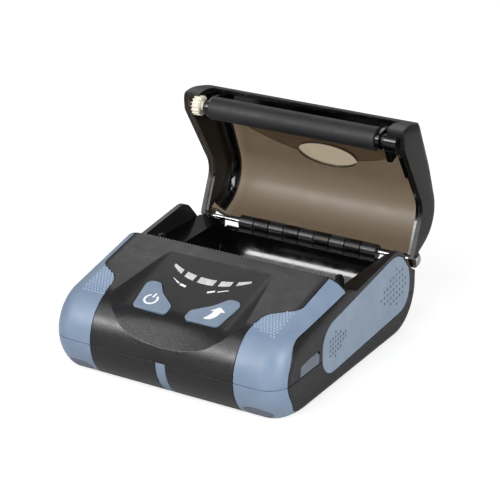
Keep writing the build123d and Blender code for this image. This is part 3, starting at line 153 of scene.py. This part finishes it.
def colours(tree, factor, low, high, first=0.35, last=0.65):
    """Runs from one colour to another as the factor goes from first to last."""
    ramp = tree.nodes.new("ShaderNodeValToRGB")
    ramp.color_ramp.elements[0].position = first
    ramp.color_ramp.elements[1].position = last
    ramp.color_ramp.elements[0].color = low
    ramp.color_ramp.elements[1].color = high
    tree.links.new(factor, ramp.inputs["Fac"])
    return ramp.outputs["Color"]


def spread(tree, factor, low, high, first=0.3, last=0.7):
    """Runs from one number to another as the factor goes from first to last."""
    run = tree.nodes.new("ShaderNodeMapRange")
    run.inputs["From Min"].default_value = first
    run.inputs["From Max"].default_value = last
    run.inputs["To Min"].default_value = low
    run.inputs["To Max"].default_value = high
    tree.links.new(factor, run.inputs["Value"])
    return run.outputs["Result"]


def relief(tree, shader, height, depth, edge=0.25):
    """Gives the light a height pattern `depth` millimetres deep, and edges rounded by `edge` millimetres."""
    bump = tree.nodes.new("ShaderNodeBump")
    bump.inputs["Strength"].default_value = 1.0
    bump.inputs["Distance"].default_value = depth * MM
    tree.links.new(height, bump.inputs["Height"])
    rounded = tree.nodes.new("ShaderNodeBevel")
    rounded.samples = 4
    rounded.inputs["Radius"].default_value = edge * MM
    tree.links.new(rounded.outputs["Normal"], bump.inputs["Normal"])
    tree.links.new(bump.outputs["Normal"], shader.inputs["Normal"])


print("white in linear light:", paint(255, 255, 255))

# %% [markdown]
# Most of the printer is moulded plastic or rubber: one colour all through, a fine grain from the
# etched mould, soft patches where fingers and flow have changed it, and a gloss that is never
# quite even. One recipe with other numbers gives all of them, and only the special ones below get
# steps of their own.

# %% Moulded finishes
finishes = {}
wear_share = 0.4  # worn spots are this much of the size of the patches of colour


def moulded(slot, low, high, rough, grain, depth, patch=9.0):
    """Colours low to high in soft patches, roughness over `rough`, grain and depth in millimetres."""
    material, tree, shader, place = start(slot)
    patches = noise(tree, place, patch, 4)
    tree.links.new(colours(tree, patches, low, high), shader.inputs["Base Color"])
    worn = noise(tree, place, patch * wear_share, 3)
    tree.links.new(spread(tree, worn, *rough), shader.inputs["Roughness"])
    relief(tree, shader, noise(tree, place, grain, 2), depth)
    finishes[slot] = material
    return shader


grip_shader = moulded("grip_rubber", paint(111, 129, 152), paint(119, 137, 160), (0.40, 0.48), 0.35, 0.012)
grip_shader.inputs["Sheen Weight"].default_value = 0.15
moulded("blue_plastic", paint(112, 128, 147), paint(119, 135, 154), (0.36, 0.46), 0.3, 0.008)
moulded("grey_plastic", paint(124, 139, 156), paint(131, 146, 163), (0.34, 0.44), 0.3, 0.006)
moulded("flap_plastic", paint(92, 99, 110), paint(100, 107, 118), (0.36, 0.46), 0.3, 0.006)
# The pads' finish is the grips' blue darkened with painted shade, for the shadow the corners lie in.
moulded("pad_painted_shade", paint(96, 104, 118), paint(103, 111, 125), (0.4, 0.5), 0.3, 0.008)
moulded("light_guide", paint(186, 186, 184), paint(206, 206, 204), (0.20, 0.32), 0.5, 0.008, 2.5)
moulded("glossy_black", paint(5, 5, 6), paint(8, 8, 9), (0.07, 0.15), 1.6, 0.004)
moulded("platen_rubber", paint(22, 23, 25), paint(29, 30, 32), (0.5, 0.62), 0.25, 0.015)
moulded("gear_plastic", paint(226, 219, 200), paint(240, 235, 220), (0.32, 0.45), 0.3, 0.01, 3.0)
moulded("frame_plastic", paint(16, 16, 17), paint(22, 22, 23), (0.36, 0.5), 0.3, 0.01)
moulded("chip_black", paint(22, 22, 23), paint(30, 30, 31), (0.4, 0.55), 0.15, 0.006, 2.0)
moulded("lamp_plastic", paint(214, 214, 202), paint(226, 226, 216), (0.15, 0.3), 0.4, 0.004, 2.0)
moulded("foot_rubber", paint(24, 24, 25), paint(32, 32, 33), (0.6, 0.75), 0.3, 0.02)
moulded("heater_ceramic", paint(92, 74, 58), paint(110, 90, 72), (0.1, 0.2), 0.4, 0.003, 2.0)
print("moulded finishes:", sorted(finishes))

# %% [markdown]
# The black shells are etched with a coarser grain than the rest, and on the hollow below the
# buttons it shows plainly as grey specks. These specks are painted glints: pale colour on the
# grain that stands in for light sparkling on it. The specks could be a second material on chosen
# faces, but that would end in a hard line. A mask made from how far forward and how high a place
# lies lets them fade out, and the rest stays quiet.

# %% Shell plastic
material, tree, shader, place = start("black_plastic")
patches = colours(tree, noise(tree, place, 12, 4), paint(20, 20, 22), paint(26, 26, 28))
split = tree.nodes.new("ShaderNodeSeparateXYZ")
tree.links.new(place, split.inputs["Vector"])
specks_full_y, specks_end_y = -0.058, -0.050  # metres, as the Object coordinates are
specks_end_z, specks_full_z = 0.0185, 0.023
near_front = spread(tree, split.outputs["Y"], 1, 0, specks_full_y, specks_end_y)
above_seam = spread(tree, split.outputs["Z"], 0, 1, specks_end_z, specks_full_z)
both = tree.nodes.new("ShaderNodeMath")
both.operation = "MULTIPLY"
tree.links.new(near_front, both.inputs[0])
tree.links.new(above_seam, both.inputs[1])
speck_size = 0.5  # millimetres
speck_edge, speck_core = 0.52, 0.66
specks = spread(tree, noise(tree, place, speck_size, 1), 0, 1, speck_edge, speck_core)
# The specks are painted glints: their pale grey stands in for light sparkling on the grain.
painted_glints = tree.nodes.new("ShaderNodeMath")
painted_glints.operation = "MULTIPLY"
tree.links.new(both.outputs[0], painted_glints.inputs[0])
tree.links.new(specks, painted_glints.inputs[1])
blend = tree.nodes.new("ShaderNodeMix")
blend.data_type = "RGBA"
tree.links.new(painted_glints.outputs[0], blend.inputs["Factor"])
first_colour, second_colour, mixed_colour = 6, 7, 2  # sockets of the Mix node, whose names are not unique
tree.links.new(patches, blend.inputs[first_colour])
# The pale grey of the painted glints.
blend.inputs[second_colour].default_value = paint(58, 58, 62)
tree.links.new(blend.outputs[mixed_colour], shader.inputs["Base Color"])
tree.links.new(spread(tree, noise(tree, place, 5, 3), 0.26, 0.34), shader.inputs["Roughness"])
shell_grain, shell_grain_depth, shell_edge = 0.45, 0.02, 0.35  # millimetres
relief(tree, shader, noise(tree, place, shell_grain, 2), shell_grain_depth, shell_edge)
finishes["black_plastic"] = material
print("shell plastic has", len(tree.nodes), "nodes")

# %% [markdown]
# The lid is clear brown plastic. Its colour comes from what light loses on the way through, so
# the thick zone near the roller looks darker than the thin one with no extra paint. That is why
# the tint is an absorption inside the solid and not a base colour. Faint smears in the gloss keep
# it from looking like empty air, and a weak mirror strength keeps the lamps from drawing hard
# stripes across it.

# %% Clear plastics
weak_mirror = 0.015
plastic_ior = 1.49


def clear(slot, colour, density, rough):
    """Clear plastic that keeps `colour` of the light and loses the rest at so much per metre."""
    material, tree, shader, place = start(slot)
    shader.inputs["Specular IOR Level"].default_value = weak_mirror
    shader.inputs["Transmission Weight"].default_value = 1.0
    shader.inputs["IOR"].default_value = plastic_ior
    shader.inputs["Base Color"].default_value = (1, 1, 1, 1)
    smears = noise(tree, place, 7, 4, (1, 0.4, 1))
    tree.links.new(spread(tree, smears, *rough), shader.inputs["Roughness"])
    relief(tree, shader, noise(tree, place, 3.0, 3), 0.003)
    tint = tree.nodes.new("ShaderNodeVolumeAbsorption")
    tint.inputs["Color"].default_value = colour
    tint.inputs["Density"].default_value = density
    tree.links.new(tint.outputs["Volume"], tree.nodes["Material Output"].inputs["Volume"])
    finishes[slot] = material


clear("smoked_cover", (0.489, 0.404, 0.287, 1), 1500, (0.36, 0.46))
clear("clear_inlay", (0.463, 0.358, 0.178, 1), 1250, (0.10, 0.18))
print("clear finishes: smoked_cover, clear_inlay")

# %% [markdown]
# Metal parts differ in how they were made. A rolled or drawn part has fine lines one way, so its
# noise is drawn out along X, the way the blade, the pins and the axles run. The ground teeth of
# the blade scatter light more, so that each shows as a bright dot. A plated part is only a little
# cloudy.

# %% Metals


def metal(slot, low, high, rough, grain, stretch):
    """Bare metal with its grain drawn out as `stretch` says."""
    material, tree, shader, place = start(slot)
    shader.inputs["Metallic"].default_value = 1.0
    lines = noise(tree, place, grain, 3, stretch)
    tree.links.new(colours(tree, lines, low, high), shader.inputs["Base Color"])
    tree.links.new(spread(tree, lines, *rough), shader.inputs["Roughness"])
    relief(tree, shader, lines, 0.003)
    finishes[slot] = material


along_x = (0.04, 1, 1)
metal("blade_steel", paint(188, 190, 192), paint(214, 216, 218), (0.18, 0.34), 0.12, along_x)
metal("ground_steel", paint(206, 208, 210), paint(226, 228, 230), (0.45, 0.6), 0.12, along_x)
metal("screw_steel", paint(172, 174, 178), paint(204, 206, 210), (0.2, 0.34), 0.15, along_x)
metal("motor_steel", paint(150, 151, 153), paint(176, 177, 179), (0.3, 0.45), 0.5, (1, 1, 1))
metal("head_aluminium", paint(178, 180, 183), paint(200, 202, 205), (0.3, 0.42), 0.12, along_x)
metal("socket_metal", paint(176, 176, 174), paint(202, 202, 200), (0.16, 0.28), 0.8, (1, 1, 1))
metal("contact_gold", paint(204, 164, 84), paint(226, 188, 108), (0.2, 0.32), 0.4, (1, 1, 1))
print("finishes with the metals:", len(finishes))

# %% [markdown]
# A circuit board is green lacquer over copper runs that show as slightly paler green lines.
# Drawing every run would be wasted on a part that is nearly always hidden, so square cells of two
# greens stand in for them.

# %% Circuit board
material, tree, shader, place = start("circuit_board")
cells = tree.nodes.new("ShaderNodeTexVoronoi")
cells.distance = "CHEBYCHEV"
cells.feature = "F1"
cell_size = 1.6  # millimetres
cells.inputs["Scale"].default_value = 1 / (cell_size * MM)
cells.inputs["Randomness"].default_value = 0.7
tree.links.new(place, cells.inputs["Vector"])
lacquer = paint(22, 86, 52)
copper_run = paint(34, 110, 68)
greens = colours(tree, cells.outputs["Distance"], lacquer, copper_run, 0.30, 0.34)
tree.links.new(greens, shader.inputs["Base Color"])
tree.links.new(spread(tree, noise(tree, place, 2, 3), 0.22, 0.36), shader.inputs["Roughness"])
relief(tree, shader, cells.outputs["Distance"], 0.006)
finishes["circuit_board"] = material
print("finishes in all:", len(finishes))

# %% [markdown]
# Every part of the drawing names the finish it has, so the dressing is one loop. A part whose
# finish were missing would stop the script here, which is better than a grey part in the picture.
# The flap over the sockets is a duller blue than its neighbours, the small pads in the corners
# are the grips' blue darkened with painted shade, as they lie in shadow, and the blade is ground
# where the pins are drawn, so these get their own finish after the loop.

# %% Dress the parts of the drawing
for part in frame["record"]["subparts"]:
    for holder in nodes[part["node"]].material_slots:
        holder.material = finishes[part["material_slot"]]
for part, finish in (
    ("port_cover", "flap_plastic"),
    ("corner_pad_left", "pad_painted_shade"),
    ("corner_pad_right", "pad_painted_shade"),
    ("tear_blade", "ground_steel"),
):
    for holder in nodes[part].material_slots:
        holder.material = finishes[finish]

# %% [markdown]
# New pieces all end the same way. Their faces are turned outward, they become an object at the
# origin, they get a finish, and they are told which body carries them, so that they follow the
# lid or a button when it moves.

# %% Finish a new piece


def make_piece(name, bm, finish, body, crisp=35):
    """A bmesh becomes a named piece that rides on a body. Edges over `crisp` degrees stay crisp."""
    bmesh.ops.recalc_face_normals(bm, faces=bm.faces)
    mesh = bpy.data.meshes.new(name)
    bm.to_mesh(mesh)
    bm.free()
    mesh.materials.append(finishes[finish])
    mesh.shade_smooth()
    mesh.set_sharp_from_angle(angle=math.radians(crisp))
    piece = bpy.data.objects.new(name, mesh)
    scene.collection.objects.link(piece)
    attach(piece, body)
    print(name, "has", len(mesh.polygons), "faces")


# %% [markdown]
# White marks on the buttons and the panel are ink a few hundredths of a millimetre thick. They
# all lie on one sloping plane, the floor of the dish in the panel, so they are drawn flat in that
# plane and lifted into place by one matrix. Real ink could also be a pattern in the finish, but
# thin solids stay sharp at any size.

# %% The sloping plane of the panel's dish
moulded("white_ink", paint(228, 230, 232), paint(240, 241, 243), (0.35, 0.5), 0.2, 0.004, 2.0)
tilt = math.radians(16.3)
dish_spot = Vector((0, -15, 42.11))  # a point of the dish floor, in millimetres
dish_floor = Matrix.Translation(dish_spot * MM) @ Matrix.Rotation(tilt, 4, "X") @ Matrix.Scale(MM, 4)
button_top = 0.6  # the buttons stand this far over the dish floor
ink = 0.03  # its thickness


def lay_on_dish(bm, height):
    """Moves flat work drawn in millimetres to the dish floor, so high above it."""
    bmesh.ops.transform(bm, matrix=dish_floor @ Matrix.Translation((0, 0, height)), verts=bm.verts)


def ink_face(bm, corners):
    """One flat patch of ink with the corners given in millimetres, and its thickness."""
    face = bm.faces.new([bm.verts.new((x, y, 0)) for x, y in corners])
    grown = bmesh.ops.extrude_face_region(bm, geom=[face])
    lifted = [v for v in grown["geom"] if isinstance(v, bmesh.types.BMVert)]
    bmesh.ops.translate(bm, verts=lifted, vec=(0, 0, ink))
    bmesh.ops.recalc_face_normals(bm, faces=bm.faces)


print("the dish leans", round(math.degrees(tilt), 1), "degrees")

# %% [markdown]
# The power sign is a ring with a gap and a bar through the gap. It could be cut out of discs with
# booleans. A spin gives cleaner faces: the upright section of the ink, spun round the middle,
# makes the ring, and leaving the last part of the turn out makes the gap. The sign leans with the
# button's own edge.

# %% Power sign
power_middle = Vector((-14.5, -30.95, 0))
ring_radius = 2.75
stroke = 0.95
gap_half = math.radians(32)
lean = math.radians(-6)
ring_steps = 40
ring_in = ring_radius - stroke / 2
ring_out = ring_radius + stroke / 2
bm = bmesh.new()
corners = [(ring_in, 0), (ring_out, 0), (ring_out, ink), (ring_in, ink)]
section = bm.faces.new([bm.verts.new((x, 0, z)) for x, z in corners])
start_angle = math.pi / 2 + lean + gap_half
bmesh.ops.rotate(bm, verts=bm.verts, cent=(0, 0, 0), matrix=Matrix.Rotation(start_angle, 3, "Z"))
sweep = 2 * (math.pi - gap_half)
bmesh.ops.spin(
    bm, geom=[section], cent=(0, 0, 0), axis=(0, 0, 1), dvec=(0, 0, 0), angle=sweep, steps=ring_steps
)
bar_half, bar_low, bar_high = 0.45, 1.2, 3.9
corners = [(-bar_half, bar_low), (bar_half, bar_low), (bar_half, bar_high), (-bar_half, bar_high)]
ink_face(bm, corners)
bar_verts = bm.verts[-8:]  # the eight corners of the bar came last
bmesh.ops.rotate(bm, verts=bar_verts, cent=(0, 0, 0), matrix=Matrix.Rotation(lean, 3, "Z"))
bmesh.ops.translate(bm, verts=bm.verts, vec=power_middle)
lay_on_dish(bm, button_top)
make_piece("power_sign", bm, "white_ink", "power_button")

# %% [markdown]
# The feed sign is an arrow that swings up and to the right, like paper coming out. It could be a
# curve with a width, made into a mesh. On a sign that is eight millimetres long a few straight
# stretches already read as a curve, so its outline is one flat face with twelve corners, drawn in
# millimetres on the dish floor and then given the ink's thickness.

# %% Feed sign
arrow = [
    (11.9, -34.1), (13.3, -34.3), (14.9, -33.8), (16.1, -32.6), (16.9, -30.9), (17.1, -28.8),
    (18.8, -28.3), (15.4, -25.9), (12.4, -29.1), (13.9, -28.9), (13.7, -30.7), (13.0, -32.5),
]
bm = bmesh.new()
ink_face(bm, arrow)
lay_on_dish(bm, button_top)
make_piece("feed_sign", bm, "white_ink", "feed_button")

# %% [markdown]
# Four short strokes follow the curve of the status windows. The outer two taper towards the
# sides, and the inner two stay broad. A stroke could be a curve with a changing width too, but
# four corners give the same picture.

# %% Strokes under the windows
strokes = [
    [(-14.0, -15.0), (-13.6, -15.1), (-9.3, -17.2), (-9.8, -17.9)],
    [(-8.9, -17.3), (-5.7, -18.0), (-5.6, -19.2), (-8.8, -18.5)],
    [(4.5, -18.4), (7.3, -16.8), (7.6, -17.8), (4.8, -19.5)],
    [(8.5, -16.9), (12.5, -14.9), (12.7, -15.2), (8.7, -17.6)],
]
bm = bmesh.new()
for corners in strokes:
    ink_face(bm, corners)
lay_on_dish(bm, 0)
make_piece("panel_strokes", bm, "white_ink", "body")

# %% [markdown]
# The soft grips carry a field of low pips where the fingers press. Each pip is the same small
# dome, and it is dropped from above onto the grip's own surface and turned to lie flat on it, so
# the field follows the curve. A dome is a flattened ball half sunk in the grip. Few faces are
# enough for it, because there are many and each is a millimetre across.

# %% Pips on the grips
pip_radius, pip_height, pip_step = 0.46, 0.18, 1.45  # millimetres
pip_rows, pip_columns = 14, 9
row_share = 0.866  # rows of a lattice of even triangles, against its step
over_all = 0.1  # metres, well above the printer
down = Vector((0, 0, -1))


def surface_of(name):
    """The surface of a part of the drawing, for dropping small things onto it."""
    bm = bmesh.new()
    bm.from_mesh(nodes[name].data)
    tree = BVHTree.FromBMesh(bm)
    bm.free()
    return tree


def add_dome(bm, spot, normal):
    """A low dome standing on a spot of a surface."""
    turn = normal.to_track_quat("Z", "Y").to_matrix().to_4x4()
    size = Matrix.Diagonal((pip_radius * MM, pip_radius * MM, pip_height * MM, 1))
    place = Matrix.Translation(spot) @ turn @ size
    bmesh.ops.create_uvsphere(bm, u_segments=8, v_segments=6, radius=1, matrix=place)


def pip_field(name, grip, inside, corner):
    """Pips at every place of a slanting lattice that lies inside a region and over the grip."""
    surface = surface_of(grip)
    bm = bmesh.new()
    count = 0
    for row in range(pip_rows):
        for column in range(pip_columns):
            x = corner[0] + pip_step * (column + 0.5 * (row % 2))
            y = corner[1] + pip_step * row_share * row
            if not inside(x, y):
                continue
            spot, normal = surface.ray_cast(Vector((x * MM, y * MM, over_all)), down)[:2]
            if spot is None:
                continue
            add_dome(bm, spot, normal)
            count += 1
    print(name, count, "pips")
    make_piece(name, bm, "grip_pips", "body")


def right_region(x, y):
    """The right field ends short of the outer edge, and its front edge slants."""
    return x < 45.5 and y > -50 + (45 - x) * 0.2


def left_region(x, y):
    """The left field ends short of the outer edge and the front edge."""
    return x > -45 and y > -50


moulded("grip_pips", paint(148, 168, 194), paint(156, 176, 202), (0.4, 0.5), 0.3, 0.006)
pip_field("pips_right", "grip_upper_right", right_region, (34.5, -51))
pip_field("pips_left", "grip_upper_left", left_region, (-45, -51))

# %% [markdown]
# Each side panel has two fields of small round dimples, like the openings over a sounder or a
# vent. They could be cut with booleans, but the panel's own solid stays whole, so a dimple is a
# cup a hair thick that lies on it: a rim, and a middle that dips. Its dark colour is painted
# shade, the shade that would fall inside a real hollow. The fields follow the slanting rows of the
# picture, and the left side is the mirror of the right one.

# %% Dimples in the side panels
# The cups' dark colour is painted shade of the hollows.
moulded("dimple_painted_shade", paint(26, 29, 34), paint(38, 42, 48), (0.6, 0.7), 0.2, 0.004, 2.0)
half_width = 54.0  # from the middle of the printer to the face of a side panel, in millimetres
cup_radius, cup_thickness = 0.6, 0.06
cup_rim, cup_slope, cup_dip = 0.14, 0.16, 0.035
# A field is the place of column 0 and row 0, the step to the next column, the step to the next
# row, and the first and last row of each column. Places and steps are (Y, Z) in millimetres.
front_columns = {0: (0, 3), 1: (0, 3), 2: (-1, 4), 3: (0, 3), 4: (0, 3), 5: (1, 2), 6: (1, 2)}
rear_columns = {
    -1: (1, 1), 0: (0, 2), 1: (0, 2), 2: (-1, 3), 3: (-1, 3),
    4: (-2, 4), 5: (-1, 3), 6: (-1, 3), 7: (1, 2),
}
fields = (
    ((-20.1, 21.75), (2.12, 0.26), (0.0, -2.1), front_columns),
    ((26.43, 25.37), (2.75, 0.32), (0.19, -2.72), rear_columns),
)


def add_cup(bm, x, y, z, outward):
    """A shallow cup with its mouth facing along X; its dark finish is painted shade."""
    turn = Matrix.Rotation(outward * math.pi / 2, 4, "Y")
    place = Matrix.Translation(Vector((x, y, z)) * MM) @ turn @ Matrix.Scale(MM, 4)
    cup = bmesh.ops.create_cone(
        bm, cap_ends=True, segments=12, radius1=cup_radius, radius2=cup_radius, depth=cup_thickness
    )
    faces = [f for v in cup["verts"] for f in v.link_faces]
    top = max(faces, key=lambda f: f.calc_center_median().z)
    rim = bmesh.ops.inset_individual(bm, faces=[top], thickness=cup_rim, depth=0)
    bmesh.ops.inset_individual(bm, faces=[top], thickness=cup_slope, depth=-cup_dip)
    verts = set(cup["verts"]) | {v for f in rim["faces"] for v in f.verts} | set(top.verts)
    bmesh.ops.transform(bm, matrix=place, verts=list(verts))


def dimples(name, side):
    """Both fields of one side panel, the right one where `side` is 1 and the left one where it is -1."""
    bm = bmesh.new()
    for first_place, across, along, columns in fields:
        for column, (first, last) in columns.items():
            for row in range(first, last + 1):
                y = first_place[0] + across[0] * column + along[0] * row
                z = first_place[1] + across[1] * column + along[1] * row
                add_cup(bm, side * half_width, y, z, side)
    make_piece(name, bm, "dimple_painted_shade", "body")


dimples("dimples_right", 1)
dimples("dimples_left", -1)

# %% [markdown]
# The floor is a wide pale sheet. A sheet that is lit only by the lamps would come out grey, and
# more light would burn the printer's own colours, so for the eye, and for what is seen through
# clear plastic, the sheet also glows a little of its own. The printer's shadow still shows,
# because the glow only adds to the lit part.

# %% Floor
sheet_half = 6  # metres
floor_grey = 0.55
floor_glow = 0.62
bm = bmesh.new()
bmesh.ops.create_grid(bm, x_segments=1, y_segments=1, size=sheet_half)
mesh = bpy.data.meshes.new("floor")
bm.to_mesh(mesh)
bm.free()
floor = bpy.data.objects.new("floor", mesh)
scene.collection.objects.link(floor)
material = bpy.data.materials.new("floor_sheet")
material.use_nodes = True
tree = material.node_tree
shader = tree.nodes["Principled BSDF"]
shader.inputs["Base Color"].default_value = (floor_grey, floor_grey, floor_grey, 1)
shader.inputs["Roughness"].default_value = 0.9
shader.inputs["Specular IOR Level"].default_value = 0.0
shader.inputs["Emission Color"].default_value = (1, 1, 1, 1)
rays = tree.nodes.new("ShaderNodeLightPath")
seen = tree.nodes.new("ShaderNodeMath")
seen.operation = "MAXIMUM"
tree.links.new(rays.outputs["Is Camera Ray"], seen.inputs[0])
tree.links.new(rays.outputs["Is Transmission Ray"], seen.inputs[1])
glow = tree.nodes.new("ShaderNodeMath")
glow.operation = "MULTIPLY"
glow.inputs[1].default_value = floor_glow
tree.links.new(seen.outputs[0], glow.inputs[0])
tree.links.new(glow.outputs[0], shader.inputs["Emission Strength"])
mesh.materials.append(material)
print("floor is", floor.dimensions.x, "m wide")
